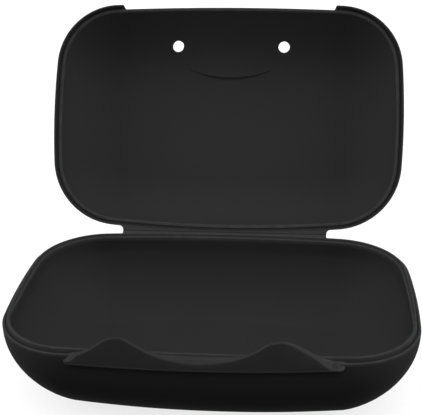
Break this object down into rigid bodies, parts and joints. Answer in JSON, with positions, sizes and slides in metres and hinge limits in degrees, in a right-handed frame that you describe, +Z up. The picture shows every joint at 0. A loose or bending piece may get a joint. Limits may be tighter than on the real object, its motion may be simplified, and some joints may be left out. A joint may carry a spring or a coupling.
{
  "type": "soap case",
  "caption": "Pocket-size travel soap case: rounded rectangular tray with a wavy latch lip and a shallow lid on a film hinge.",
  "frame": {"origin": "middle of the flat underside of the tray", "axes": "+Z up from the underside, +Y from the latch lip towards the hinge, +X to the right as seen from the latch side"},
  "size_m": [0.112, 0.1161, 0.0902],
  "materials": {
    "shell_plastic": "satin",
    "film_plastic": "satin"
  },
  "bodies": {
    "tray": {"base_tray": "shell_plastic", "hinge_film": "film_plastic"},
    "lid": {"lid_shell": "shell_plastic"}
  },
  "joints": [
    {"name": "lid_hinge", "type": "hinge", "parent": "tray", "child": "lid", "pos_m": [0, 0.0373, 0.02435], "axis": [-1, 0, 0], "range_deg": [-115.3, 64.7]}
  ]
}
